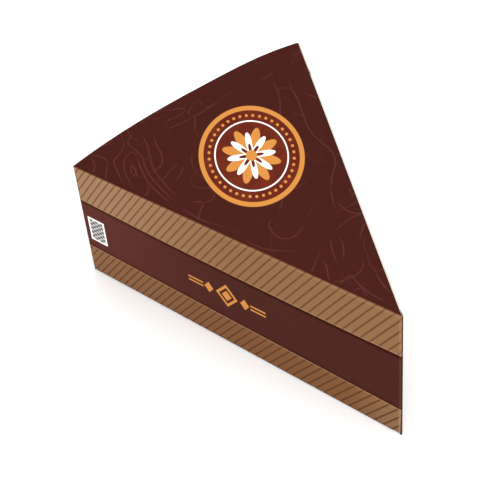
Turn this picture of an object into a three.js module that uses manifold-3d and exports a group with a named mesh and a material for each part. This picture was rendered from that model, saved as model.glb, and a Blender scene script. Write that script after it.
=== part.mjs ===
// Pie slice box: a wedge shaped carton folded and glued from one die-cut sheet
// of printed paperboard.  Units are millimetres, +Z is up.
//
// The sheet's middle panel is the spine wall, the straight wall at -X.  The lid
// folds from its top, the base from its bottom, the closing wall from its end at
// the tip (-Y) and the curved back wall from its other end (+Y).  The back wall's
// tab is glued inside the closing wall, the straight wall at +X.  The lid turns
// about the spine wall's top edge, and its tuck flap slips down behind the
// closing wall, whose top edge is cut free.
//
// The solids are drawn with the spine wall at +X and mirrored at the end.

import * as THREE from 'three';
import { mergeVertices } from 'three/addons/utils/BufferGeometryUtils.js';
import Module from 'manifold-3d';

// ---------------------------------------------------------------- dimensions
const SIDE = 135;             // straight walls, tip corner to back corner, measured outside
const HALF_ANGLE = 21.4;      // half of the angle at the tip, degrees
const HEIGHT = 63.2;          // outside height, lid closed
const BOARD = 0.5;            // paperboard thickness
const BACK_RADIUS = 324;      // outside radius of the curved back wall
const FOLD_RADIUS = 0.8;      // outside radius of a creased fold
const GAP = 0.3;              // free gap between the lid and the walls
const WELD = 0.02;            // overlap of glued layers, so that they join into one solid

const CLOSING_TOP = HEIGHT - GAP;         // cut top edge of the closing wall
const WALL_TOP = HEIGHT - BOARD - GAP;    // tops of the spine wall and the back wall

const SEAM_TAB = 12;          // width of the side seam tab, glued inside the closing wall
const SEAM_TAB_MARGIN = 2.5;  // tab stops this far from the top and the bottom
const BASE_TAB_HEIGHT = 10;   // tab of the base, glued inside the closing wall
const BASE_TAB_START = 16;    // along the closing wall from the tip
const BASE_TAB_END = 120;
const BACK_TAB_HEIGHT = 8;    // tabs of the base, glued inside the curved wall
const BACK_TABS = 5;
const BACK_TAB_WIDTH = 14.5;
const BACK_TAB_PITCH = 17.4;

const FLAP_LEAN = 6;          // tuck flap leans in from the closing wall, degrees
const FLAP_START = 22;        // tuck flap crease along the closing wall, from the tip
const FLAP_END = 118;
const FLAP_DEPTH = 18;        // deepest part of the tuck flap below the lid
const FLAP_INSET = BOARD + GAP;  // crease of the tuck flap, in from the outside of the closing wall

const ARC_STEPS = 36;
const FOLD_STEPS = 6;

// ------------------------------------------------------------------- helpers
const wasm = await Module();
wasm.setup();

const rad = THREE.MathUtils.degToRad;
const alpha = rad(HALF_ANGLE);
const sinA = Math.sin(alpha);
const cosA = Math.cos(alpha);

// centre of the back arc, tip corner at (0, 0)
const arcCentreY = SIDE * cosA - Math.sqrt(BACK_RADIUS ** 2 - (SIDE * sinA) ** 2);

// directions of the two straight walls from the tip, and their inward normals
const spineDir = new THREE.Vector2(sinA, cosA);
const spineIn = new THREE.Vector2(-cosA, sinA);
const closeDir = new THREE.Vector2(-sinA, cosA);
const closeIn = new THREE.Vector2(cosA, sinA);

// a point given by its distance s from the tip along a wall and its depth n behind it
const atClose = (s, n) => new THREE.Vector2(
  closeDir.x * s + closeIn.x * n, closeDir.y * s + closeIn.y * n);
const atSpine = (s, n) => new THREE.Vector2(
  spineDir.x * s + spineIn.x * n, spineDir.y * s + spineIn.y * n);

// distance along a straight wall where a line at depth n meets the circle of radius r
function alongToArc(dir, inward, n, r) {
  const px = inward.x * n;
  const py = inward.y * n - arcCentreY;
  const b = px * dir.x + py * dir.y;
  const c = px * px + py * py - r * r;
  return -b + Math.sqrt(b * b - c);
}

function arcPoints(cx, cy, r, from, to, steps) {
  const points = [];
  for (let i = 0; i <= steps; i += 1) {
    const a = from + ((to - from) * i) / steps;
    points.push(new THREE.Vector2(cx + r * Math.cos(a), cy + r * Math.sin(a)));
  }
  return points;
}

function toManifold(geometry) {
  const bare = new THREE.BufferGeometry();
  const flat = geometry.index ? geometry.toNonIndexed() : geometry;
  bare.setAttribute('position', flat.getAttribute('position').clone());
  const merged = mergeVertices(bare, 1e-5);
  const mesh = new wasm.Mesh({
    numProp: 3,
    vertProperties: new Float32Array(merged.getAttribute('position').array),
    triVerts: new Uint32Array(merged.index.array),
  });
  return new wasm.Manifold(mesh);
}

function toGeometry(manifold) {
  const mesh = manifold.getMesh();
  const geometry = new THREE.BufferGeometry();
  geometry.setAttribute('position',
    new THREE.BufferAttribute(new Float32Array(mesh.vertProperties), 3));
  geometry.setIndex(new THREE.BufferAttribute(new Uint32Array(mesh.triVerts), 1));
  const flat = geometry.toNonIndexed();
  flat.computeVertexNormals();
  return flat;
}

// a plan outline raised from z0 to z1
function plate(points, z0, z1) {
  const geometry = new THREE.ExtrudeGeometry(new THREE.Shape(points),
    { depth: z1 - z0, bevelEnabled: false });
  geometry.translate(0, 0, z0);
  return toManifold(geometry);
}

// a profile drawn as (n, z) and run along a straight wall from s0 to s1
function run(points, dir, inward, s0, s1) {
  const geometry = new THREE.ExtrudeGeometry(new THREE.Shape(points),
    { depth: s1 - s0, bevelEnabled: false });
  const x = new THREE.Vector3(inward.x, inward.y, 0);
  const y = new THREE.Vector3(0, 0, 1);
  const z = new THREE.Vector3().crossVectors(x, y);
  const forward = z.dot(new THREE.Vector3(dir.x, dir.y, 0)) > 0;
  geometry.translate(0, 0, forward ? s0 : -s1);
  geometry.applyMatrix4(new THREE.Matrix4().makeBasis(x, y, z));
  return toManifold(geometry);
}

// an outline drawn as (s, z) on a wall, thickened from depth n0 to n1 behind it
function sheet(points, dir, inward, n0, n1) {
  const geometry = new THREE.ExtrudeGeometry(new THREE.Shape(points),
    { depth: n1 - n0, bevelEnabled: false });
  geometry.translate(0, 0, n0);
  geometry.applyMatrix4(new THREE.Matrix4().makeBasis(
    new THREE.Vector3(dir.x, dir.y, 0),
    new THREE.Vector3(0, 0, 1),
    new THREE.Vector3(inward.x, inward.y, 0)));
  return toManifold(geometry);
}

// --------------------------------------------------------------- carton body
function makeBody() {
  const r = FOLD_RADIUS;
  const ri = FOLD_RADIUS - BOARD;

  // wall strip in plan: tip fold, spine wall, back corner fold, curved wall, seam fold
  const tip = new THREE.Vector2(0, r / sinA);
  const spineCornerAlong = alongToArc(spineDir, spineIn, r, BACK_RADIUS - r);
  const spineCorner = atSpine(spineCornerAlong, r);
  const spineAngle = Math.atan2(spineCorner.y - arcCentreY, spineCorner.x);
  // the seam fold lies one board in from the outside of the closing wall
  const seamDepth = BOARD - WELD;
  const seamAlong = alongToArc(closeDir, closeIn, seamDepth + r, BACK_RADIUS - r);
  const seamCorner = atClose(seamAlong, seamDepth + r);
  const seamAngle = Math.atan2(seamCorner.y - arcCentreY, seamCorner.x);
  const tabAngle = Math.PI + alpha;

  const outer = [
    ...arcPoints(tip.x, tip.y, r, Math.PI + alpha, 2 * Math.PI - alpha, FOLD_STEPS * 2),
    ...arcPoints(spineCorner.x, spineCorner.y, r, -alpha, spineAngle, FOLD_STEPS),
    ...arcPoints(0, arcCentreY, BACK_RADIUS, spineAngle, seamAngle, ARC_STEPS).slice(1, -1),
    ...arcPoints(seamCorner.x, seamCorner.y, r, seamAngle, tabAngle, FOLD_STEPS),
    atClose(seamAlong - SEAM_TAB, seamDepth),
  ];
  const inner = [
    atClose(seamAlong - SEAM_TAB, seamDepth + BOARD),
    ...arcPoints(seamCorner.x, seamCorner.y, ri, tabAngle, seamAngle, FOLD_STEPS),
    ...arcPoints(0, arcCentreY, BACK_RADIUS - BOARD, seamAngle, spineAngle, ARC_STEPS).slice(1, -1),
    ...arcPoints(spineCorner.x, spineCorner.y, ri, spineAngle, -alpha, FOLD_STEPS),
    ...arcPoints(tip.x, tip.y, ri, 2 * Math.PI - alpha, Math.PI + alpha, FOLD_STEPS * 2),
  ];
  // the strip is cut above and below the seam tab, so the tab is drawn apart
  const strip = plate([...outer.slice(0, -1),
    ...inner.slice(1)], 0, WALL_TOP);

  const seamTab = plate([
    atClose(seamAlong + 0.2, seamDepth),
    atClose(seamAlong + 0.2, seamDepth + BOARD),
    atClose(seamAlong - SEAM_TAB, seamDepth + BOARD),
    atClose(seamAlong - SEAM_TAB, seamDepth),
  ].reverse(), SEAM_TAB_MARGIN, WALL_TOP - SEAM_TAB_MARGIN);

  // closing wall: its back end and its top are cut edges
  const tangent = r / Math.tan(alpha);
  const closeEnd = alongToArc(closeDir, closeIn, 0, BACK_RADIUS);
  const closingWall = plate([
    atClose(tangent, 0),
    atClose(tangent, BOARD),
    atClose(closeEnd - 0.1, BOARD),
    atClose(closeEnd - 0.1, 0),
  ].reverse(), 0, CLOSING_TOP);
  // joins the closing wall to the tip fold
  const join = plate([
    atClose(tangent - 0.05, 0.001),
    atClose(tangent - 0.05, BOARD - 0.001),
    atClose(tangent + 1, BOARD - 0.001),
    atClose(tangent + 1, 0.001),
  ].reverse(), 0, WALL_TOP);

  // base, creased to the spine wall and butted inside the other two
  const edge = BOARD - WELD;
  const baseSpine = alongToArc(spineDir, spineIn, edge, BACK_RADIUS - edge);
  const baseClose = alongToArc(closeDir, closeIn, edge, BACK_RADIUS - edge);
  const bf = atSpine(baseSpine, edge);
  const bl = atClose(baseClose, edge);
  const a0 = Math.atan2(bf.y - arcCentreY, bf.x);
  const a1 = Math.atan2(bl.y - arcCentreY, bl.x);
  const base = plate([
    new THREE.Vector2(0, edge / sinA),
    ...arcPoints(0, arcCentreY, BACK_RADIUS - edge, a0, a1, ARC_STEPS),
  ], 0, BOARD);

  // crease between the base and the spine wall, rounded outside
  const corner = [new THREE.Vector2(-1, -1), new THREE.Vector2(r, -1)];
  corner.push(...arcPoints(r, r, r, 1.5 * Math.PI, Math.PI, FOLD_STEPS));
  corner.push(new THREE.Vector2(-1, r));
  const creaseCut = run(corner, spineDir, spineIn, 3, spineCornerAlong - 1);

  // long tab of the base, glued inside the closing wall
  const closingTab = sheet([
    new THREE.Vector2(BASE_TAB_START, 0.1),
    new THREE.Vector2(BASE_TAB_END, 0.1),
    new THREE.Vector2(BASE_TAB_END - 4, BASE_TAB_HEIGHT),
    new THREE.Vector2(BASE_TAB_START + 6, BASE_TAB_HEIGHT),
  ], closeDir, closeIn, BOARD - WELD, 2 * BOARD);

  // short tabs of the base, glued inside the curved wall
  const tabs = [];
  const inR = BACK_RADIUS - BOARD + WELD;
  for (let i = 0; i < BACK_TABS; i += 1) {
    const mid = Math.PI / 2 + ((i - (BACK_TABS - 1) / 2) * BACK_TAB_PITCH) / BACK_RADIUS;
    const half = BACK_TAB_WIDTH / 2 / BACK_RADIUS;
    const steps = 4;
    tabs.push(plate([
      ...arcPoints(0, arcCentreY, inR, mid - half, mid + half, steps),
      ...arcPoints(0, arcCentreY, BACK_RADIUS - 2 * BOARD, mid + half, mid - half, steps),
    ], 0.1, BACK_TAB_HEIGHT));
  }

  let body = wasm.Manifold.union([strip, seamTab, closingWall, join, base, closingTab, ...tabs]);
  body = body.subtract(creaseCut);
  return body.mirror([1, 0, 0]);
}

// ----------------------------------------------------------------------- lid
function makeLid() {
  const n = FLAP_INSET;
  // panel: flush with the spine wall and the curved wall, inside the closing wall
  const tip = (() => {
    // where the closing edge line at depth n meets the outside line of the spine wall
    const s = n / Math.sin(2 * alpha);
    return atSpine(s, 0);
  })();
  const r = 0.5;
  const spineAlong = alongToArc(spineDir, spineIn, r, BACK_RADIUS - r);
  const spineCorner = atSpine(spineAlong, r);
  const spineAngle = Math.atan2(spineCorner.y - arcCentreY, spineCorner.x);
  const closeAlong = alongToArc(closeDir, closeIn, n + r, BACK_RADIUS - r);
  const closeCorner = atClose(closeAlong, n + r);
  const closeAngle = Math.atan2(closeCorner.y - arcCentreY, closeCorner.x);
  const panel = plate([
    tip,
    ...arcPoints(spineCorner.x, spineCorner.y, r, -alpha, spineAngle, FOLD_STEPS),
    ...arcPoints(0, arcCentreY, BACK_RADIUS, spineAngle, closeAngle, ARC_STEPS).slice(1, -1),
    ...arcPoints(closeCorner.x, closeCorner.y, r, closeAngle, Math.PI + alpha, FOLD_STEPS),
  ], HEIGHT - BOARD, HEIGHT);

  // the panel is cut back along the flap, where the fold takes its place, with a
  // small relief at each end of the crease
  const R = FOLD_RADIUS;
  const lean = rad(FLAP_LEAN);
  const relief = 0.4;
  const room = plate([
    atClose(FLAP_START - relief, n - 1), atClose(FLAP_END + relief, n - 1),
    atClose(FLAP_END + relief, n + R), atClose(FLAP_START - relief, n + R),
  ], HEIGHT - 2, HEIGHT + 1);

  // section of fold and flap drawn as (n, z): the bend, then the flap hangs with its lean
  const cx = n + R;
  const cz = HEIGHT - R;
  const long = FLAP_DEPTH + 2;
  const down = new THREE.Vector2(Math.sin(lean), -Math.cos(lean));
  const bendOut = arcPoints(cx, cz, R, Math.PI / 2, Math.PI + lean, FOLD_STEPS * 2);
  const bendIn = arcPoints(cx, cz, R - BOARD, Math.PI + lean, Math.PI / 2, FOLD_STEPS);
  const section = run([
    new THREE.Vector2(cx + 1, HEIGHT),
    ...bendOut,
    bendOut[bendOut.length - 1].clone().addScaledVector(down, long),
    bendIn[0].clone().addScaledVector(down, long),
    ...bendIn,
    new THREE.Vector2(cx + 1, HEIGHT - BOARD),
  ], closeDir, closeIn, FLAP_START, FLAP_END);

  // outline of the flap seen square to the closing wall, as (s, z): deep at the
  // back, tapering toward the tip
  const s0 = FLAP_START;
  const s1 = FLAP_END;
  const low = HEIGHT - FLAP_DEPTH;
  const outline = sheet([
    new THREE.Vector2(s0 - 1, HEIGHT + 1),
    new THREE.Vector2(s0 - 1, HEIGHT - 1.2),
    new THREE.Vector2(s0 + 4, HEIGHT - 3.8),
    new THREE.Vector2(s1 - 12, low),
    ...arcPoints(s1 - 9, low + 3.4, 3.4, 1.5 * Math.PI, 1.84 * Math.PI, 6),
    new THREE.Vector2(s1 + 0.3, HEIGHT - 1.4),
    new THREE.Vector2(s1 + 1, HEIGHT + 1),
  ], closeDir, closeIn, n - 1, n + 8);
  const flap = section.intersect(outline);

  // outer top edge along the hinge crease, rounded
  const q = 0.45;
  const roundCut = run([
    new THREE.Vector2(-1, HEIGHT - q),
    ...arcPoints(q, HEIGHT - q, q, Math.PI, Math.PI / 2, FOLD_STEPS),
    new THREE.Vector2(q, HEIGHT + 1),
    new THREE.Vector2(-1, HEIGHT + 1),
  ].reverse(), spineDir, spineIn, -2, SIDE + 4);

  return panel.subtract(room).add(flap).subtract(roundCut).mirror([1, 0, 0]);
}

// ---------------------------------------------------------------- the object
const print = { roughness: 0.55, metalness: 0 };
const bodyMaterial = new THREE.MeshStandardMaterial({ color: new THREE.Color('#a57d5f'), ...print });
const lidMaterial = new THREE.MeshStandardMaterial({ color: new THREE.Color('#4e211c'), ...print });

const bodyGeometry = toGeometry(makeBody());
const lidGeometry = toGeometry(makeLid());

// the origin lies under the middle of the closed box
const bounds = new THREE.Box3();
[bodyGeometry, lidGeometry].forEach((geometry) => {
  geometry.computeBoundingBox();
  bounds.union(geometry.boundingBox);
});
const middle = bounds.getCenter(new THREE.Vector3());

function node(name, geometry, material) {
  geometry.translate(-middle.x, -middle.y, 0);
  const mesh = new THREE.Mesh(geometry, material);
  mesh.name = name;
  return mesh;
}

const group = new THREE.Group();
group.add(node('carton_body', bodyGeometry, bodyMaterial));
group.add(node('lid', lidGeometry, lidMaterial));

export default group;
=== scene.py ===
import math

import bmesh
import bpy
import numpy as np
from mathutils import Matrix, Vector


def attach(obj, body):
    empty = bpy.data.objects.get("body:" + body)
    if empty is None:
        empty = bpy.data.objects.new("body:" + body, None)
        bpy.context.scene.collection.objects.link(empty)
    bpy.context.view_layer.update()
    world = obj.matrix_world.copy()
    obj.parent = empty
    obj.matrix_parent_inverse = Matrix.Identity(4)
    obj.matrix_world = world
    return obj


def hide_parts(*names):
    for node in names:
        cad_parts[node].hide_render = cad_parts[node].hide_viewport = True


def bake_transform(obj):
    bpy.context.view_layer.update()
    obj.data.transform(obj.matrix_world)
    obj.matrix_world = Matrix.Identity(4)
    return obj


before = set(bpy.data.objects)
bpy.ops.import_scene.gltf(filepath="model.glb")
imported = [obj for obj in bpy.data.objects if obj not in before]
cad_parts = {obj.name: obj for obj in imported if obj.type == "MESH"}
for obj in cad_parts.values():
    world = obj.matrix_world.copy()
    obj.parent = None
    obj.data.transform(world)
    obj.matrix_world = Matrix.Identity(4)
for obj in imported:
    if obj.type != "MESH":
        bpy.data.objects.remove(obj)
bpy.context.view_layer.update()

# ----------------------------------------------------------------- dimensions
# Millimetres, as in the part's source. Plan points are drawn with the tip corner
# at (0, 0) and moved to the row frame at the end.
SIDE = 135.0
ALPHA = math.radians(21.4)
HEIGHT = 63.2
BOARD = 0.5
BACK_R = 324.0
FOLD = 0.8
TIP_FOLD = 0.55
CORNER_FOLD = 0.6
LID_FOLD = 0.55
GAP = 0.3
CLOSING_TOP = HEIGHT - GAP
WALL_TOP = HEIGHT - BOARD - GAP
SEAM_TAB = 12.0
FLAP_LEAN = math.radians(6.0)
FLAP_START, FLAP_END, FLAP_DEPTH = 22.0, 118.0, 18.0
FLAP_INSET = BOARD + 0.08
BASE_TAB = (16.0, 120.0, 10.0)
BACK_TABS, BACK_TAB_W, BACK_TAB_PITCH, BACK_TAB_H = 5, 14.5, 17.4, 8.0

SA, CA = math.sin(ALPHA), math.cos(ALPHA)
ARC_Y = SIDE * CA - math.sqrt(BACK_R ** 2 - (SIDE * SA) ** 2)
MID_X, MID_Y = 0.0783, 65.2778     # tip corner to the middle of the closed box

SPINE_DIR, SPINE_IN = np.array([-SA, CA]), np.array([CA, SA])
CLOSE_DIR, CLOSE_IN = np.array([SA, CA]), np.array([-CA, SA])


def at_spine(s, n):
    return SPINE_DIR * s + SPINE_IN * n


def at_close(s, n):
    return CLOSE_DIR * s + CLOSE_IN * n


def along_to_arc(direction, inward, n, r):
    """Distance along a straight wall where the line at depth n meets the circle of radius r."""
    p = inward * n - np.array([0.0, ARC_Y])
    b = float(p @ direction)
    return -b + math.sqrt(b * b - float(p @ p) + r * r)


def smooth(t):
    t = np.clip(t, 0.0, 1.0)
    return t * t * (3 - 2 * t)


# ------------------------------------------------------- how the board has settled
def settle(p):
    """Small unevenness of a hand-folded box: walls bow a little, the lid is
    slightly crowned, and the tip's foot stands a little outside its top."""
    p = np.array(p, float)
    x, y, z = p[:, 0], p[:, 1], p[:, 2]
    s_sp = x * SPINE_DIR[0] + y * SPINE_DIR[1]
    n_sp = x * SPINE_IN[0] + y * SPINE_IN[1]
    s_cl = x * CLOSE_DIR[0] + y * CLOSE_DIR[1]
    n_cl = x * CLOSE_IN[0] + y * CLOSE_IN[1]
    out = p.copy()
    h = z / HEIGHT
    # foot of the tip and of the spine wall's back corner
    w_a = np.clip(n_cl / (SIDE * math.sin(2 * ALPHA)), 0, 1)
    w_b = np.clip(n_sp / (SIDE * math.sin(2 * ALPHA)), 0, 1)
    w_t = np.clip(1 - w_a - w_b, 0, 1)
    low = 1 - np.clip(h, 0, 1)
    out[:, 0] += low * (w_t * -2.10 + w_a * 2.34)
    out[:, 1] += low * (w_t * -3.30 + w_a * 2.90)
    # and the two back corners spread a little
    out[:, 0] += (1 - low) * w_a * -0.70 + w_b * 1.15
    out[:, 1] += (1 - low) * w_a * 0.55 + w_b * -0.45
    # the curved back is a little fuller toward its far end
    far = np.clip(w_b / np.maximum(w_a + w_b, 1e-6), 0, 1)
    out[:, 1] += 0.70 * smooth((w_a + w_b - 0.75) / 0.25) * np.sin(np.pi * np.clip((far - 0.55) / 0.45, 0, 1) ** 1.6)
    # the top is not quite level
    out[:, 2] += (1 - low) * (w_a * -0.75 + w_t * 0.40)
    # straight walls bow outward between their folds
    rise = np.sin(np.pi * np.clip(h, 0, 1))
    for s, n, inward, amount in (
        (s_sp, n_sp, SPINE_IN, 0.45),
        (s_cl, n_cl, CLOSE_IN, 0.40),
    ):
        along = np.sin(np.pi * np.clip(s / SIDE, 0, 1)) ** 0.8
        near = np.exp(-((n / 7.0) ** 2))
        push = amount * rise * along * near
        out[:, 0] -= inward[0] * push
        out[:, 1] -= inward[1] * push
    # the lid is slightly crowned, most of all along its free curved edge
    top = smooth((z - (HEIGHT - 1.6)) / 1.0)
    crown = np.tanh(np.clip(n_sp, 0, None) / 16.0) * np.tanh(np.clip(n_cl, 0, None) / 16.0)
    ripple = 0.10 * np.sin(s_sp / 21.0 + 0.6) * np.sin(n_sp / 13.0)
    out[:, 2] += top * crown * (0.42 + ripple)
    return out


def to_frame(p):
    """Tip-corner millimetres to row-frame metres."""
    q = settle(p)
    q[:, 0] += MID_X
    q[:, 1] -= MID_Y
    return q / 1000.0


# ------------------------------------------------------------------ thick sheets
class Sheet:
    """An open surface of quads and triangles, later thickened by one board.

    Points are the printed side. Each has a print coordinate (u, v) in millimetres."""

    def __init__(self):
        self.points, self.uv, self.faces, self.normals = [], [], [], []
        self.front = 0      # material slot of the printed side

    def add(self, point, uv, normal=None):
        self.points.append(tuple(point))
        self.uv.append(tuple(uv))
        self.normals.append(None if normal is None else tuple(normal))
        return len(self.points) - 1

    def grid(self, ids):
        """Quads over a 2-D list of point indices; None leaves a hole."""
        for i in range(len(ids) - 1):
            for j in range(len(ids[i]) - 1):
                q = [ids[i][j], ids[i + 1][j], ids[i + 1][j + 1], ids[i][j + 1]]
                if None not in q:
                    self.faces.append(q)


def point_normals(points, faces):
    normals = np.zeros_like(points)
    for f in faces:
        a, b, c = points[f[0]], points[f[1]], points[f[2]]
        n = np.cross(b - a, c - a)
        if len(f) == 4:
            n = n + np.cross(c - a, points[f[3]] - a)
        for i in f:
            normals[i] += n
    length = np.linalg.norm(normals, axis=1)
    length[length < 1e-12] = 1
    return normals / length[:, None]


def build(name, sheets, board=BOARD):
    """One mesh of closed, board-thick shells from open printed surfaces."""
    verts, faces, mats, uvs = [], [], [], []
    for sheet in sheets:
        p = np.array(sheet.points, float)
        n = point_normals(p, sheet.faces)
        for i, given in enumerate(sheet.normals):
            if given is not None:
                n[i] = given
        base = len(verts)
        count = len(p)
        verts.extend(p)
        verts.extend(p - n * board)
        uv = sheet.uv
        directed = {}
        for f in sheet.faces:
            faces.append([base + i for i in f])
            mats.append(sheet.front)
            uvs.append([uv[i] for i in f])
            faces.append([base + count + i for i in reversed(f)])
            mats.append(1)
            uvs.append([uv[i] for i in reversed(f)])
            for a, b in zip(f, f[1:] + f[:1]):
                directed[(a, b)] = True
        for a, b in directed:
            if (b, a) not in directed:
                faces.append([base + b, base + a, base + count + a, base + count + b])
                mats.append(2)
                uvs.append([uv[b], uv[a], uv[a], uv[b]])
    mesh = bpy.data.meshes.new(name)
    mesh.from_pydata([tuple(v) for v in to_frame(verts)], [], faces)
    layer = mesh.uv_layers.new(name="print")
    k = 0
    for face_uv in uvs:
        for u, v in face_uv:
            layer.data[k].uv = (u / 100.0, v / 100.0)
            k += 1
    for poly, m in zip(mesh.polygons, mats):
        poly.material_index = m
        poly.use_smooth = True
    bm = bmesh.new()
    bm.from_mesh(mesh)
    for e in bm.edges:
        if len(e.link_faces) == 2:
            a, b = e.link_faces
            if a.material_index != b.material_index or e.calc_face_angle(0.0) > 0.7:
                e.smooth = False
    bm.to_mesh(mesh)
    bm.free()
    mesh.update()
    obj = bpy.data.objects.new(name, mesh)
    bpy.context.scene.collection.objects.link(obj)
    return obj


# ---------------------------------------------------------------- the wall strip
def arc(centre, r, a0, a1, steps):
    """Points and outward normals on an arc."""
    out = []
    for i in range(steps + 1):
        a = a0 + (a1 - a0) * i / steps
        d = np.array([math.cos(a), math.sin(a)])
        out.append((np.array(centre) + d * r, d, a))
    return out


TANGENT = TIP_FOLD / math.tan(ALPHA)
SPINE_END = along_to_arc(SPINE_DIR, SPINE_IN, CORNER_FOLD, BACK_R - CORNER_FOLD)
CLOSE_END = along_to_arc(CLOSE_DIR, CLOSE_IN, 0.0, BACK_R) - 0.1
SEAM_N = BOARD + 0.01
SEAM_S = along_to_arc(CLOSE_DIR, CLOSE_IN, SEAM_N + FOLD, BACK_R - FOLD)


def angle_of(p):
    return math.atan2(p[1] - ARC_Y, p[0])


def wall_strip():
    """Seam tab, seam fold, curved wall, corner fold, spine wall, tip fold, closing wall."""
    columns = []  # plan point, outward normal, u, bottom, top
    spine_out, close_out = -SPINE_IN, -CLOSE_IN
    seam_c = at_close(SEAM_S, SEAM_N + FOLD)
    corner_c = at_spine(SPINE_END, CORNER_FOLD)
    a_seam, a_corner = angle_of(seam_c), angle_of(corner_c)
    fold_len = CORNER_FOLD * (math.pi + ALPHA - a_corner)
    u_corner = -SPINE_END - fold_len
    u_seam = u_corner - BACK_R * (a_corner - a_seam)
    # tab, cut back at its corners
    for t in np.linspace(0, 1, 9):
        s = SEAM_S - SEAM_TAB * (1 - t)
        cut = 2.5 + 4.0 * max(0.0, 1 - t * 4)
        columns.append((at_close(s, SEAM_N), close_out, u_seam - SEAM_TAB * (1 - t) - 1.2, cut, WALL_TOP - cut))
    for i, (p, d, a) in enumerate(arc(seam_c, FOLD, -ALPHA, a_seam, 8)):
        f = smooth(i / 8.0)
        columns.append((p, d, u_seam - 1.2 * (1 - i / 8.0), 2.5 * (1 - f), WALL_TOP - 2.5 * (1 - f)))
    for p, d, a in arc((0, ARC_Y), BACK_R, a_seam, a_corner, 48)[1:]:
        columns.append((p, d, u_seam + BACK_R * (a - a_seam), 0.0, WALL_TOP))
    for i, (p, d, a) in enumerate(arc(corner_c, CORNER_FOLD, a_corner, math.pi + ALPHA, 8)[1:]):
        columns.append((p, d, u_corner + fold_len * (i + 1) / 8.0, 0.0, WALL_TOP))
    # spine wall: its top and bottom folds are drawn with the lid crease and the base
    for s in np.linspace(SPINE_END - 0.02, TANGENT + 0.02, 61):
        columns.append((at_spine(s, 0), spine_out, -s, FOLD, HEIGHT - 1.7))
    for i, (p, d, a) in enumerate(arc((0, TIP_FOLD / SA), TIP_FOLD, math.pi + ALPHA, 2 * math.pi - ALPHA, 12)):
        columns.append((p, d, TANGENT * (i / 6.0 - 1), 0.0, CLOSING_TOP))
    for s in np.linspace(TANGENT + 0.02, CLOSE_END, 61):
        columns.append((at_close(s, 0), close_out, s, 0.0, CLOSING_TOP))
    sheet = Sheet()
    rows = 26
    ids = []
    for plan, normal, u, lo, hi in columns:
        col = []
        for k in range(rows + 1):
            z = lo + (hi - lo) * k / rows
            col.append(sheet.add((plan[0], plan[1], z), (u, z), (normal[0], normal[1], 0.0)))
        ids.append(col)
    sheet.grid(ids)
    return sheet


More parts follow.
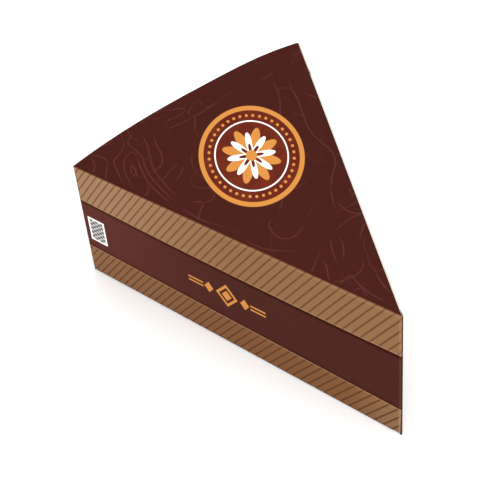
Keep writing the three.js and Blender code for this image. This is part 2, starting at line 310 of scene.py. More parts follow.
# ------------------------------------------------------------------------- base
def base_sheet():
    """Base panel, printed side down, with the crease to the spine wall and its glue tabs."""
    sheet = Sheet()
    sheet.front = 3
    edge = BOARD + 0.02
    # flat part: from the fold at the spine wall to one bend inside the other walls
    n_sp, n_cl = FOLD, edge + FOLD
    # tip of the flat part
    m = np.array([SPINE_IN, CLOSE_IN])
    tip = np.linalg.solve(m, np.array([n_sp, n_cl]))
    r_in = BACK_R - edge - FOLD
    s0 = along_to_arc(SPINE_DIR, SPINE_IN, n_sp, r_in)
    s1 = along_to_arc(CLOSE_DIR, CLOSE_IN, n_cl, r_in)
    pa, pb = at_spine(s0, n_sp), at_close(s1, n_cl)
    aa, ab = angle_of(pa), angle_of(pb)
    cols, rows = 44, 46
    arc_pts = [np.array([r_in * math.cos(a), ARC_Y + r_in * math.sin(a)])
               for a in np.linspace(ab, aa, cols + 1)]
    ids = []
    for i in range(rows + 1):
        r = 0.012 + (1 - 0.012) * i / rows
        ids.append([sheet.add((*(tip + r * (q - tip)), 0.0), tuple(tip + r * (q - tip)), (0, 0, -1))
                    for q in arc_pts])
    # printed side faces down, so the winding is turned
    sheet.grid([list(reversed(row)) for row in ids])

    # fold up into the spine wall (last column): bend, then the wall takes over
    steps = 6
    bend = []
    for i in range(rows + 1):
        p = np.array(sheet.points[ids[i][cols]][:2])
        line = [ids[i][cols]]
        for k in range(1, steps + 1):
            a = math.pi / 2 * k / steps
            q = p - SPINE_IN * (FOLD * math.sin(a))
            z = FOLD * (1 - math.cos(a))
            nn = (-SPINE_IN[0] * math.sin(a), -SPINE_IN[1] * math.sin(a), -math.cos(a))
            s = float(p @ SPINE_DIR)
            line.append(sheet.add((q[0], q[1], z), (-s, z), nn))
        bend.append(line)
    sheet.grid([list(reversed(row)) for row in zip(*bend)])

    # tab inside the closing wall (first column)
    a0, a1, high = BASE_TAB
    bend = []
    for i in range(rows + 1):
        p = np.array(sheet.points[ids[i][0]][:2])
        s = float(p @ CLOSE_DIR)
        if not a0 <= s <= a1:
            bend.append(None)
            continue
        line = [ids[i][0]]
        for k in range(1, steps + 1):
            a = math.pi / 2 * k / steps
            q = p - CLOSE_IN * (FOLD * math.sin(a))
            nn = (-CLOSE_IN[0] * math.sin(a), -CLOSE_IN[1] * math.sin(a), -math.cos(a))
            line.append(sheet.add((q[0], q[1], FOLD * (1 - math.cos(a))), tuple(q), nn))
        q = p - CLOSE_IN * FOLD
        reach = high - 3.5 * max(0.0, 1 - (s - a0) / 6.0) - 3.0 * max(0.0, 1 - (a1 - s) / 4.0)
        for z in np.linspace(FOLD, reach, 5)[1:]:
            line.append(sheet.add((q[0], q[1], z), tuple(q), (-CLOSE_IN[0], -CLOSE_IN[1], 0)))
        bend.append(line)
    run = []
    for line in bend + [None]:
        if line is None:
            if len(run) > 1:
                sheet.grid(run)
            run = []
        else:
            run.append(line)

    # tabs inside the curved wall (last row)
    mid_cols = [cols / 2 + (i - (BACK_TABS - 1) / 2) * (BACK_TAB_PITCH / r_in) / ((aa - ab) / cols)
                for i in range(BACK_TABS)]
    half = (BACK_TAB_W / 2 / r_in) / ((aa - ab) / cols)
    for mid in mid_cols:
        j0, j1 = int(math.ceil(mid - half)), int(math.floor(mid + half))
        block = []
        for j in range(j0, j1 + 1):
            p = np.array(sheet.points[ids[rows][j]][:2])
            d = p - np.array([0, ARC_Y])
            d /= np.linalg.norm(d)
            line = [ids[rows][j]]
            for k in range(1, steps + 1):
                a = math.pi / 2 * k / steps
                q = p + d * (FOLD * math.sin(a))
                line.append(sheet.add((q[0], q[1], FOLD * (1 - math.cos(a))), tuple(q),
                                      (d[0] * math.sin(a), d[1] * math.sin(a), -math.cos(a))))
            q = p + d * FOLD
            side = min(j - j0, j1 - j)
            reach = BACK_TAB_H - (2.0 if side == 0 else 0.0)
            for z in np.linspace(FOLD, reach, 4)[1:]:
                line.append(sheet.add((q[0], q[1], z), tuple(q), (d[0], d[1], 0)))
            block.append(line)
        sheet.grid(block)
    return sheet


# -------------------------------------------------------------------------- lid
CREASE_IN = 1.5      # the crease strip ends this far in on the lid
CREASE_DOWN = 1.7    # and this far down on the spine wall


def lid_sheet():
    """Lid panel with the tuck flap folded down inside the closing wall."""
    sheet = Sheet()
    n_sp, n_cl = CREASE_IN, FLAP_INSET + FOLD
    tip = np.linalg.solve(np.array([SPINE_IN, CLOSE_IN]), np.array([n_sp, n_cl]))
    s0 = along_to_arc(SPINE_DIR, SPINE_IN, n_sp, BACK_R)
    s1 = along_to_arc(CLOSE_DIR, CLOSE_IN, n_cl, BACK_R)
    aa, ab = angle_of(at_spine(s0, n_sp)), angle_of(at_close(s1, n_cl))
    cols = 56
    arc_pts = [np.array([BACK_R * math.cos(a), ARC_Y + BACK_R * math.sin(a)])
               for a in np.linspace(ab, aa, cols + 1)]
    first = arc_pts[0]
    reach = np.linalg.norm(first - tip)
    tip_s = float(tip @ CLOSE_DIR)
    # rows run from the tip outward; the flap's ends and its reliefs fall on rows
    relief = 0.08
    marks = [FLAP_START - relief, FLAP_START, FLAP_END, FLAP_END + relief]
    stops = [tip_s + 0.04, 12.0, marks[0], marks[1], marks[2], marks[3], tip_s + reach]
    counts = [4, 5, 1, 60, 1, 10]
    rows_s = [stops[0]]
    for a, b, c in zip(stops, stops[1:], counts):
        rows_s.extend(np.linspace(a, b, c + 1)[1:])
    ids = []
    for s in rows_s:
        r = (s - tip_s) / reach
        ids.append([sheet.add((*(tip + r * (q - tip)), HEIGHT), tuple(tip + r * (q - tip)), (0, 0, 1))
                    for q in arc_pts])
    sheet.grid(ids)

    # margin or flap beyond the first column
    steps = 8
    margin, flap, blocks = [], [], []
    bend_len = FOLD * (math.pi / 2 + FLAP_LEAN)

    def flat_line(i, s):
        p = np.array(sheet.points[ids[i][0]][:2])
        line = [ids[i][0]]
        # near the tip the margin runs out along the crease strip
        shear = max(0.0, 1 - (s - rows_s[0]) / 6.0) / math.tan(2 * ALPHA)
        for w in (0.4, FOLD):
            q = p - CLOSE_IN * w - CLOSE_DIR * (w * shear)
            line.append(sheet.add((q[0], q[1], HEIGHT), tuple(q), (0, 0, 1)))
        return line

    def flap_line(i, s):
        p = np.array(sheet.points[ids[i][0]][:2])
        out = -CLOSE_IN
        line = [ids[i][0]]
        for k in range(1, steps + 1):
            a = (math.pi / 2 + FLAP_LEAN) * k / steps
            q = p + out * (FOLD * math.sin(a))
            z = HEIGHT - FOLD + FOLD * math.cos(a)
            nn = (out[0] * math.sin(a), out[1] * math.sin(a), math.cos(a))
            line.append(sheet.add((q[0], q[1], z), tuple(p + out * (FOLD * a)), nn))
        q = p + out * (FOLD * math.sin(math.pi / 2 + FLAP_LEAN))
        z = HEIGHT - FOLD + FOLD * math.cos(math.pi / 2 + FLAP_LEAN)
        down = np.array([-out[0] * math.sin(FLAP_LEAN), -out[1] * math.sin(FLAP_LEAN), -math.cos(FLAP_LEAN)])
        nn = (out[0] * math.cos(FLAP_LEAN), out[1] * math.cos(FLAP_LEAN), -math.sin(FLAP_LEAN))
        # flap outline: tapers to the tip, round at the back
        t = (s - FLAP_START) / (FLAP_END - FLAP_START)
        deep = 3.2 + (FLAP_DEPTH - 3.4) * min(1.0, t / 0.86)
        deep -= 2.0 * max(0.0, 1 - (s - FLAP_START) / 2.0)
        back = FLAP_END - s
        if back < 7.0:
            deep -= 7.0 - math.sqrt(max(0.0, 49.0 - (7.0 - back) ** 2))
        for w in np.linspace(0, max(deep - FOLD, 0.6), 12)[1:]:
            line.append(sheet.add((q[0] + down[0] * w, q[1] + down[1] * w, z + down[2] * w),
                                  tuple(p + out * (bend_len + w)), nn))
        return line

    first_block = [flat_line(i, s) for i, s in enumerate(rows_s) if s <= marks[0] + 1e-6]
    flap_block = [flap_line(i, s) for i, s in enumerate(rows_s) if marks[1] - 1e-6 <= s <= marks[2] + 1e-6]
    last_block = [flat_line(i, s) for i, s in enumerate(rows_s) if s >= marks[3] - 1e-6]
    for block in (first_block, flap_block, last_block):
        sheet.grid([list(reversed(line)) for line in block])
    return sheet


def crease_sheet():
    """The fold between spine wall and lid, with a little of each panel."""
    sheet = Sheet()
    sin2, cos2 = math.sin(2 * ALPHA), math.cos(2 * ALPHA)
    s_last = SPINE_END - 0.02
    ids = []
    for part in np.linspace(0, 1, 62):
        line = []
        path = []
        for z in np.linspace(HEIGHT - CREASE_DOWN, HEIGHT - LID_FOLD, 4):
            path.append((0.0, z, 1.0, 0.0))
        for k in range(1, 9):
            a = math.pi / 2 * k / 8
            path.append((LID_FOLD - LID_FOLD * math.cos(a), HEIGHT - LID_FOLD + LID_FOLD * math.sin(a), math.cos(a), math.sin(a)))
        for n in np.linspace(LID_FOLD, CREASE_IN, 4)[1:]:
            path.append((n, HEIGHT, 0.0, 1.0))
        length = 0.0
        last = path[0]
        for n, z, no, nz in path:
            length += math.hypot(n - last[0], z - last[1])
            last = (n, z)
            s_first = max(TANGENT + 0.03, (FLAP_INSET + 0.02 + cos2 * n) / sin2)
            # on the lid's side the strip runs out to the lid's corner
            s_end = s_last + (along_to_arc(SPINE_DIR, SPINE_IN, n, BACK_R) - s_last) * nz
            s = s_first + (s_end - s_first) * part
            q = at_spine(s, n)
            # the print follows the board over the fold
            v = HEIGHT - CREASE_DOWN + length
            line.append(sheet.add((q[0], q[1], z), (-s, v), (-SPINE_IN[0] * no, -SPINE_IN[1] * no, nz)))
        ids.append(line)
    sheet.grid(ids)
    return sheet


def oriented(sheet):
    """Turns faces whose winding disagrees with the given normals."""
    p = np.array(sheet.points, float)
    fixed = []
    for f in sheet.faces:
        n = np.cross(p[f[1]] - p[f[0]], p[f[2]] - p[f[0]])
        want = sum(np.array(sheet.normals[i]) for i in f)
        fixed.append(f if float(n @ want) >= 0 else list(reversed(f)))
    sheet.faces = fixed
    return sheet


carton = build("carton_shell", [oriented(wall_strip()), oriented(base_sheet())])
lid = build("lid_panel", [oriented(lid_sheet())])
crease = build("lid_crease", [oriented(crease_sheet())])


# -------------------------------------------------------------------- materials
def lin(r, g, b):
    """Display 0..255 to linear."""
    out = []
    for c in (r, g, b):
        c /= 255.0
        out.append(c / 12.92 if c <= 0.04045 else ((c + 0.055) / 1.055) ** 2.4)
    return (*out, 1.0)


class Graph:
    def __init__(self, name):
        self.mat = bpy.data.materials.new(name)
        self.mat.use_nodes = True
        self.nodes = self.mat.node_tree.nodes
        self.links = self.mat.node_tree.links
        self.nodes.clear()
        self.out = self.nodes.new("ShaderNodeOutputMaterial")
        self.bsdf = self.nodes.new("ShaderNodeBsdfPrincipled")
        self.links.new(self.bsdf.outputs["BSDF"], self.out.inputs["Surface"])

    def put(self, value, socket):
        if isinstance(value, (int, float)):
            socket.default_value = value
        elif isinstance(value, tuple):
            socket.default_value = value
        else:
            self.links.new(value, socket)

    def m(self, op, a, b=None, c=None, clamp=False):
        n = self.nodes.new("ShaderNodeMath")
        n.operation = op
        n.use_clamp = clamp
        self.put(a, n.inputs[0])
        if b is not None:
            self.put(b, n.inputs[1])
        if c is not None:
            self.put(c, n.inputs[2])
        return n.outputs[0]

    def add(self, a, b):
        return self.m("ADD", a, b)

    def sub(self, a, b):
        return self.m("SUBTRACT", a, b)

    def mul(self, a, b):
        return self.m("MULTIPLY", a, b)

    def step(self, value, low, high):
        """0 below low, 1 above high, smooth between."""
        n = self.nodes.new("ShaderNodeMapRange")
        n.interpolation_type = "SMOOTHSTEP"
        self.put(value, n.inputs["Value"])
        n.inputs["From Min"].default_value = low
        n.inputs["From Max"].default_value = high
        return n.outputs["Result"]

    def band(self, value, low, high, soft):
        """1 between low and high."""
        return self.mul(self.step(value, low - soft / 2, low + soft / 2),
                        self.sub(1.0, self.step(value, high - soft / 2, high + soft / 2)))

    def mix(self, factor, a, b):
        n = self.nodes.new("ShaderNodeMix")
        n.data_type = "RGBA"
        self.put(factor, n.inputs[0])
        self.put(a, n.inputs[6])
        self.put(b, n.inputs[7])
        return n.outputs[2]

    def vec(self, x, y, z=0.0):
        n = self.nodes.new("ShaderNodeCombineXYZ")
        self.put(x, n.inputs[0])
        self.put(y, n.inputs[1])
        self.put(z, n.inputs[2])
        return n.outputs[0]

    def noise(self, vector, scale, detail=2.0, rough=0.5, distortion=0.0):
        n = self.nodes.new("ShaderNodeTexNoise")
        self.put(vector, n.inputs["Vector"])
        n.inputs["Scale"].default_value = scale
        n.inputs["Detail"].default_value = detail
        n.inputs["Roughness"].default_value = rough
        n.inputs["Distortion"].default_value = distortion
        return n.outputs["Fac"]

    def uv(self):
        n = self.nodes.new("ShaderNodeUVMap")
        n.uv_map = "print"
        s = self.nodes.new("ShaderNodeSeparateXYZ")
        self.links.new(n.outputs["UV"], s.inputs[0])
        return self.mul(s.outputs[0], 100.0), self.mul(s.outputs[1], 100.0)

    def finish(self, colour, rough, bump=None, bump_strength=0.2, bump_mm=0.05, specular=0.35, coat=0.0, coat_rough=0.3):
        self.put(colour, self.bsdf.inputs["Base Color"])
        self.put(rough, self.bsdf.inputs["Roughness"])
        self.put(specular, self.bsdf.inputs["Specular IOR Level"])
        if coat:
            self.bsdf.inputs["Coat Weight"].default_value = coat
            self.bsdf.inputs["Coat Roughness"].default_value = coat_rough
        if bump is not None:
            b = self.nodes.new("ShaderNodeBump")
            b.inputs["Strength"].default_value = bump_strength
            b.inputs["Distance"].default_value = bump_mm / 1000.0
            self.put(bump, b.inputs["Height"])
            self.links.new(b.outputs["Normal"], self.bsdf.inputs["Normal"])
        return self.mat


def paper_grain(g, u, v):
    """Fine fibre relief under the coating, and a slow mottle."""
    p = g.vec(u, v)
    fine = g.noise(p, 2.2, 3.0, 0.6)
    coarse = g.noise(p, 0.35, 2.0, 0.5)
    return g.add(g.mul(fine, 0.7), g.mul(coarse, 0.3)), coarse, fine


TAN_UP = lin(129, 93, 61)
TAN_LOW = lin(115, 76, 45)
TAN_LINE = lin(84, 47, 22)
TAN_EDGE = lin(162, 124, 94)
BROWN_WALL = lin(61, 21, 13)
BROWN_LEFT_LIT = lin(78, 29, 20)
BROWN_DARK = lin(30, 7, 4)
BROWN_TOP = lin(58, 20, 14)
FAINT = lin(106, 60, 52)
ORANGE = lin(190, 126, 60)
WHITE = lin(250, 246, 242)


def tan_board(g, u, v, mottle):
    """Tan print with fine slanting stripes, a little wider apart toward the tip."""
    flat = g.m("MAXIMUM", g.m("MINIMUM", u, 0.0), -135.0)
    beyond = g.sub(u, flat)
    high = g.step(v, 26.0, 30.0)
    slant = g.add(g.mul(high, g.add(0.66, g.mul(flat, 0.00108))),
                  g.mul(g.sub(1.0, high), g.add(0.75, g.mul(flat, 0.0015))))
    level = g.sub(v, g.add(g.mul(high, 45.5), 8.5))
    w = g.sub(flat, g.mul(level, slant))
    grow = 0.0081
    phase = g.mul(g.m("LOGARITHM", g.mul(g.add(w, 3.66 / grow), 1 / 100.0), math.e), 1 / grow)
    phase = g.add(phase, g.mul(beyond, 1 / 3.1))
    tri = g.m("ABSOLUTE", g.sub(g.m("FRACT", phase), 0.5))
    stripe = g.sub(1.0, g.step(tri, 0.03, 0.18))
    stripe = g.mul(stripe, g.sub(g.add(0.80, g.mul(mottle, 0.4)), g.mul(high, 0.20)))
    tan = g.mix(g.step(v, 25, 35), TAN_LOW, TAN_UP)
    # painted light: both ends of the wall are painted a shade paler, the left end most, as a lighting gradient along
    # the wall
    near_tip = g.mul(g.step(flat, -24.0, -4.0), g.sub(0.38, g.mul(high, 0.33)))
    tan = g.mix(near_tip, tan, lin(140, 112, 80))
    tan = g.mix(g.mul(g.step(g.mul(flat, -1.0), 60.0, 135.0), g.add(0.18, g.mul(high, 0.32))), tan, lin(160, 124, 96))
    return g.mix(stripe, tan, TAN_LINE)


def wall_print():
    g = Graph("wall_print")
    u, v = g.uv()
    grain, mottle, fine = paper_grain(g, u, v)
    tan = tan_board(g, u, v, mottle)
    # edges of the middle band follow the slightly uneven print of the sheet
    flat = g.m("MAXIMUM", g.m("MINIMUM", u, 0.0), -135.0)
    away = g.step(g.mul(u, -1.0), 133.0, 233.0)
    high = g.sub(g.add(42.75, g.mul(flat, g.add(0.0085, g.mul(flat, 0.0001446)))), g.mul(away, 2.1))
    low = g.sub(g.add(14.00, g.mul(flat, g.add(-0.02638, g.mul(flat, -0.0000634)))), g.mul(away, 2.9))
    over, under = g.sub(v, high), g.sub(v, low)
    rim = g.m("MAXIMUM", g.band(over, 0.0, 0.55, 0.35), g.band(under, -0.55, 0.0, 0.35))
    tan = g.mix(g.mul(rim, 0.45), tan, TAN_EDGE)
    # the underside's print comes a little way round the base fold, painted darker than the underside itself as
    # painted shade in the fold
    foot = g.sub(1.0, g.step(v, 0.35, 0.75))
    tan = g.mix(g.mul(foot, 0.85), tan, BROWN_DARK)
    brown = g.mix(g.step(mottle, 0.35, 0.7), BROWN_WALL, lin(65, 23, 15))
    # painted light: the brown band is painted lighter toward the left end, where the light falls
    brown = g.mix(g.step(g.mul(flat, -1.0), 70.0, 125.0), brown, BROWN_LEFT_LIT)
    # thin dark line under the upper edge, a fainter one over the lower edge
    dark = g.m("MAXIMUM", g.mul(g.step(over, -2.3, -0.4), g.add(1.0, g.mul(flat, 0.0018))),
               g.mul(g.sub(1.0, g.step(under, 0.2, 2.2)), 0.5))
    brown = g.mix(dark, brown, lin(44, 12, 4))
    is_brown = g.mul(g.sub(1.0, g.step(over, -0.06, 0.06)), g.step(under, -0.06, 0.06))
    colour = g.mix(is_brown, tan, brown)

    # plain ornament in the middle of the spine wall: lozenges on a line
    mid_u, mid_v = -72.1, 29.2

    def lozenge(cu, cv, wu, wv):
        a = g.m("ABSOLUTE", g.mul(g.sub(u, cu), 1 / wu))
        b = g.m("ABSOLUTE", g.mul(g.sub(v, cv), 1 / wv))
        return g.add(a, b)

    big = lozenge(mid_u, mid_v, 4.6, 6.4)
    orn = g.m("MAXIMUM", g.band(big, 0.72, 1.0, 0.05), g.sub(1.0, g.step(big, 0.42, 0.48)))
    for side in (-1, 1):
        small = lozenge(mid_u + side * 7.6, mid_v, 1.9, 3.0)
        orn = g.m("MAXIMUM", orn, g.sub(1.0, g.step(small, 0.95, 1.05)))
        for rise in (-1.0, 1.0):
            line = g.mul(g.band(u, mid_u + side * 13.2 - 3.2, mid_u + side * 13.2 + 3.2, 0.1),
                         g.band(v, mid_v + rise - 0.45, mid_v + rise + 0.45, 0.12))
            orn = g.m("MAXIMUM", orn, line)
    colour = g.mix(orn, colour, ORANGE)

    # white square with a plain check, at the back end of the spine wall
    inside = g.mul(g.band(u, -132.6, -125.3, 0.08), g.band(v, 21.4, 35.4, 0.08))
    inner = g.mul(g.band(u, -131.9, -126.0, 0.08), g.band(v, 22.3, 34.4, 0.08))
    cu = g.m("FRACT", g.mul(g.add(u, 131.9), 1 / 2.36))
    cv = g.m("FRACT", g.mul(g.sub(v, 22.3), 1 / 2.42))
    check = g.m("ABSOLUTE", g.sub(g.step(cu, 0.48, 0.52), g.step(cv, 0.48, 0.52)))
    square = g.mix(g.mul(inner, g.add(0.5, g.mul(check, 0.45))), WHITE, lin(44, 48, 54))
    colour = g.mix(inside, colour, square)

    # painted light on the folds: a painted highlight on the tip fold, partly worn print, and painted shade on the
    # back corner fold
    tip_fold = g.sub(1.0, g.step(g.m("ABSOLUTE", g.add(u, 1.3)), 0.25, 0.9))
    back_fold = g.mul(g.band(u, -135.8, -134.05, 0.4), g.sub(1.0, g.mul(is_brown, 0.8)))
    rub_and_highlight = g.mul(tip_fold, g.step(fine, 0.36, 0.60))
    rub_and_highlight = g.mul(rub_and_highlight, g.sub(g.add(0.24, g.mul(g.sub(1.0, g.step(v, 10.0, 15.0)), 0.26)), g.mul(is_brown, 0.17)))
    # painted highlight on the tip fold, broken up like worn print, strongest on the lower band
    colour = g.mix(rub_and_highlight, colour, lin(196, 164, 130))
    # painted shade: the back corner fold is painted greyer and darker, as turned from the light
    colour = g.mix(g.mul(g.mul(back_fold, g.step(fine, 0.20, 0.60)), 0.70), colour, lin(123, 106, 83))
    # painted shade: the tip fold's far side turns from the light and is painted dark, lower down a little sooner
    foot = g.m("MAXIMUM", g.sub(1.0, g.mul(v, 1 / 15.0)), 0.0)
    turned = g.add(u, g.mul(foot, 0.9))
    shade = g.mul(g.step(turned, -0.75, -0.35), g.sub(1.0, g.step(u, 1.2, 4.0)))
    colour = g.mix(g.mul(shade, 0.78), colour, lin(50, 20, 14))
    rough = g.add(0.52, g.mul(mottle, 0.12))
    gloss = g.mul(g.sub(1.0, g.mul(g.mul(dark, is_brown), 0.9)), 0.05)
    return g.finish(colour, rough, grain, 0.25, 0.03, specular=gloss)


def lid_print():
    g = Graph("lid_print")
    x, y = g.uv()
    grain, mottle, fine = paper_grain(g, x, y)
    p = g.vec(x, y)
    # ground with faint flowing lines, two sizes laid over each other
    ground = g.mix(g.step(mottle, 0.3, 0.7), BROWN_TOP, lin(61, 22, 16))

    def contours(a, b, count, *shape):
        """Lines of one width where a slow noise crosses its levels."""
        here = g.noise(g.vec(a, b), *shape)
        da = g.sub(g.noise(g.vec(g.add(a, 0.3), b), *shape), here)
        db = g.sub(g.noise(g.vec(a, g.add(b, 0.3)), *shape), here)
        slope = g.mul(g.m("SQRT", g.add(g.mul(da, da), g.mul(db, db))), count / 0.3)
        level = g.m("ABSOLUTE", g.sub(g.m("FRACT", g.mul(here, count)), 0.5))
        away = g.m("DIVIDE", level, g.m("MAXIMUM", slope, 0.01))
        return g.mul(g.sub(1.0, g.step(away, 0.13, 0.40)), g.step(slope, 0.03, 0.08))

    line = contours(x, y, 11.0, 0.020, 1.0, 0.35, 1.1)
    patch = g.step(g.noise(g.vec(g.add(x, 43.0), y), 0.055, 1.0, 0.5), 0.40, 0.56)
    line2 = contours(g.sub(y, 71.0), x, 8.0, 0.023, 1.0, 0.35, 1.3)
    patch2 = g.step(g.noise(g.vec(x, g.add(y, 90.0)), 0.06, 1.0, 0.5), 0.44, 0.60)
    fade = g.add(0.25, g.mul(g.noise(p, 0.09, 2.0, 0.6), 0.75))
    lines = g.m("MAXIMUM", g.mul(line, patch), g.mul(line2, patch2))
    colour = g.mix(g.mul(g.mul(lines, fade), 0.46), ground, FAINT)

    # oval emblem: plain and beaded rings around an eight-petalled rosette
    long_a = math.radians(63.6)
    cx, cy = 2.69, 90.2
    dx, dy = g.sub(x, cx), g.sub(y, cy)
    ql = g.mul(g.add(g.mul(dx, math.cos(long_a)), g.mul(dy, math.sin(long_a))), 1 / 24.25)
    qs = g.mul(g.sub(g.mul(dx, math.sin(long_a)), g.mul(dy, math.cos(long_a))), 1 / 18.49)
    rho = g.m("SQRT", g.add(g.mul(ql, ql), g.mul(qs, qs)))
    theta = g.m("ARCTAN2", qs, ql)
    disc = g.mix(g.step(g.noise(p, 0.16, 2.0, 0.55, 0.6), 0.35, 0.68), lin(86, 28, 15), lin(98, 36, 19))
    colour = g.mix(g.sub(1.0, g.step(rho, 0.985, 0.998)), colour, disc)
    colour = g.mix(g.band(rho, 0.905, 0.995, 0.012), colour, ORANGE)
    turn = g.mul(theta, 40 / (2 * math.pi))
    along = g.mul(g.sub(g.m("FRACT", turn), 0.5), 2 * math.pi / 40 * 0.80)
    across = g.sub(rho, 0.80)
    bead = g.m("SQRT", g.add(g.mul(along, along), g.mul(across, across)))
    colour = g.mix(g.sub(1.0, g.step(bead, 0.024, 0.034)), colour, ORANGE)
    colour = g.mix(g.band(rho, 0.675, 0.70, 0.012), colour, WHITE)
    # petals: white in front, orange between
    wave = g.m("COSINE", g.mul(theta, 8.0))
    behind = g.sub(rho, g.add(0.43, g.mul(g.m("COSINE", g.add(g.mul(theta, 8.0), math.pi)), 0.13)))
    colour = g.mix(g.sub(1.0, g.step(behind, -0.008, 0.008)), colour, ORANGE)
    front = g.sub(rho, g.add(0.295, g.mul(wave, 0.165)))
    colour = g.mix(g.sub(1.0, g.step(front, -0.008, 0.008)), colour, WHITE)
    front_gap = g.sub(rho, g.add(0.16, g.mul(wave, 0.08)))
    colour = g.mix(g.sub(1.0, g.step(front_gap, -0.008, 0.008)), colour, disc)
    colour = g.mix(g.sub(1.0, g.step(rho, 0.10, 0.115)), colour, ORANGE)
    rough = g.add(0.52, g.mul(mottle, 0.12))
    return g.finish(colour, rough, grain, 0.25, 0.03, specular=0.05)


def crease_print():
    g = Graph("crease_print")
    u, v = g.uv()
    grain, mottle, fine = paper_grain(g, u, v)
    tan = tan_board(g, u, v, mottle)
    turn = HEIGHT - LID_FOLD + LID_FOLD * math.pi / 4
    # painted highlight: a pale band along the tan side of the lid fold
    tan = g.mix(g.mul(g.band(v, turn - 1.2, turn + 0.2, 0.6), g.add(0.20, g.mul(u, 0.0009))), tan, TAN_EDGE)
    top = g.step(v, turn - 0.35, turn + 0.55)
    colour = g.mix(top, tan, BROWN_TOP)
    rough = g.add(0.52, g.mul(mottle, 0.12))
    return g.finish(colour, rough, grain, 0.25, 0.03, specular=0.05)


def base_print():
    """Underside: plain dark print, a little scuffed where it stands."""
    g = Graph("base_print")
    x, y = g.uv()
    grain, mottle, fine = paper_grain(g, x, y)
    colour = g.mix(g.step(mottle, 0.3, 0.7), lin(52, 17, 11), lin(60, 22, 15))
    scuff = g.mul(g.step(g.noise(g.vec(g.mul(x, 0.4), y), 0.5, 3.0, 0.6), 0.58, 0.72), 0.16)
    colour = g.mix(scuff, colour, lin(120, 84, 66))
    return g.finish(colour, g.add(0.56, g.mul(mottle, 0.12)), grain, 0.25, 0.03, specular=0.05)


def board_inside():
    g = Graph("board_inside")
    u, v = g.uv()
    p = g.vec(u, v)
    fibre = g.noise(g.vec(g.mul(u, 0.35), v), 1.6, 4.0, 0.6, 0.4)
    cloud = g.noise(p, 0.05, 2.0, 0.5)
    speck = g.step(g.noise(p, 1.1, 1.0, 0.4), 0.70, 0.76)
    colour = g.mix(fibre, lin(198, 191, 180), lin(219, 214, 204))
    colour = g.mix(g.mul(cloud, 0.35), colour, lin(190, 182, 169))
    colour = g.mix(g.mul(speck, 0.25), colour, lin(176, 164, 148))
    return g.finish(colour, g.add(0.78, g.mul(fibre, 0.12)), fibre, 0.35, 0.04, specular=0.25)


def board_edge():
    g = Graph("board_edge")
    tex = g.nodes.new("ShaderNodeTexCoord")
    streak = g.noise(tex.outputs["Object"], 900.0, 3.0, 0.6)
    colour = g.mix(streak, lin(190, 183, 172), lin(212, 206, 197))
    # at the pointed tip and the back end of the tuck flap's crease the cut edge is tinted darker, toward the print's
    # colours
    for place, tint in (((0.0, -0.0642, 0.0628), lin(112, 78, 54)),
                        ((0.0422, 0.0460, 0.0630), lin(70, 32, 24))):
        spot = g.nodes.new("ShaderNodeVectorMath")
        spot.operation = "DISTANCE"
        g.links.new(tex.outputs["Object"], spot.inputs[0])
        spot.inputs[1].default_value = place
        edge_tint_spot = g.sub(1.0, g.step(spot.outputs["Value"], 0.0012, 0.0034))
        colour = g.mix(g.mul(edge_tint_spot, 0.9), colour, tint)
    return g.finish(colour, 0.85, streak, 0.3, 0.03, specular=0.2)


inside, edge = board_inside(), board_edge()
wall_mat = wall_print()
for obj, front in ((carton, wall_mat), (lid, lid_print()), (crease, crease_print())):
    obj.data.materials.append(front)
    obj.data.materials.append(inside)
    obj.data.materials.append(edge)
carton.data.materials.append(base_print())

# ------------------------------------------------------------------ on the frame
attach(carton, "carton")
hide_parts("carton_body")
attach(lid, "lid")
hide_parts("lid")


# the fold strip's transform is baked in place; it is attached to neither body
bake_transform(crease)

# ------------------------------------------------------------------------ stage
floor_mesh = bpy.data.meshes.new("floor")
bm = bmesh.new()
bmesh.ops.create_grid(bm, x_segments=8, y_segments=8, size=3.0)
bm.to_mesh(floor_mesh)
bm.free()
floor = bpy.data.objects.new("floor", floor_mesh)
floor.location.z = -0.0001
bpy.context.scene.collection.objects.link(floor)
fg = Graph("floor_white")
tex = fg.nodes.new("ShaderNodeTexCoord")
dust = fg.noise(tex.outputs["Object"], 6.0, 2.0, 0.5)
fg.finish(fg.mix(dust, lin(246, 246, 246), lin(250, 250, 250)), 0.9, specular=0.1)
floor_mesh.materials.append(fg.mat)

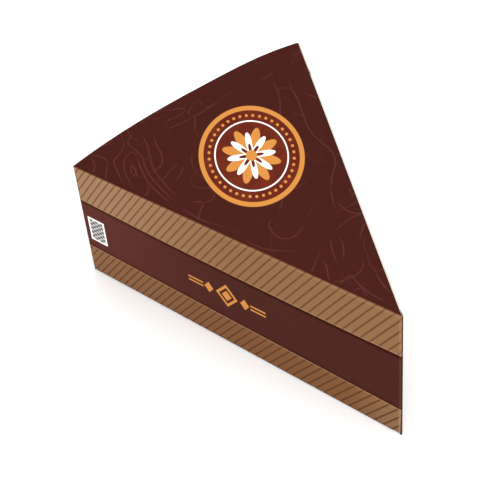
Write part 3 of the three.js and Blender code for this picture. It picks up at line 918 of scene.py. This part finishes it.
world = bpy.data.worlds.new("studio")
world.use_nodes = True
world.node_tree.nodes["Background"].inputs["Color"].default_value = (1.0, 0.99, 0.98, 1)
world.node_tree.nodes["Background"].inputs["Strength"].default_value = 0.62
bpy.context.scene.world = world


def area(name, location, target, size, power, colour=(1, 1, 1)):
    light = bpy.data.lights.new(name, "AREA")
    light.shape = "RECTANGLE"
    light.size, light.size_y = size
    light.energy = power
    light.color = colour
    obj = bpy.data.objects.new(name, light)
    obj.location = location
    obj.rotation_mode = "QUATERNION"
    obj.rotation_quaternion = (Vector(target) - Vector(location)).to_track_quat("-Z", "Y")
    bpy.context.scene.collection.objects.link(obj)
    return obj


area("softbox_top", (0.05, -0.15, 1.15), (0, 0, 0), (1.5, 1.5), 17.0)
area("softbox_left", (-1.15, -0.55, 0.62), (0, 0, 0.03), (0.9, 0.8), 7.0, (1.0, 0.985, 0.965))

# ----------------------------------------------------------------------- camera
F, AZ, EL, ROLL, TX, TY, DIST = 2065.48, -0.56733, 0.87779, -0.07556, -0.41848, 0.48433, 5.42583
back = np.array([math.sin(AZ) * math.cos(EL), -math.cos(AZ) * math.cos(EL), math.sin(EL)])
right = np.cross([0, 0, 1.0], back)
right /= np.linalg.norm(right)
up = np.cross(back, right)
c, s = math.cos(ROLL), math.sin(ROLL)
right, up = c * right + s * up, -s * right + c * up
place = (right * TX + up * TY + back * DIST) * SIDE
cam_data = bpy.data.cameras.new("camera")
cam_data.sensor_width = 36.0
cam_data.lens = F / 486.0 * 36.0
cam_data.clip_start, cam_data.clip_end = 0.01, 20.0
cam = bpy.data.objects.new("camera", cam_data)
m = Matrix.Identity(4)
for i in range(3):
    m[i][0], m[i][1], m[i][2] = right[i], up[i], back[i]
m[0][3] = (place[0] + MID_X) / 1000
m[1][3] = (place[1] - MID_Y) / 1000
m[2][3] = place[2] / 1000
cam.matrix_world = m
bpy.context.scene.collection.objects.link(cam)
bpy.context.scene.camera = cam
bpy.context.scene.view_settings.view_transform = "Standard"
bpy.context.scene.view_settings.look = "None"
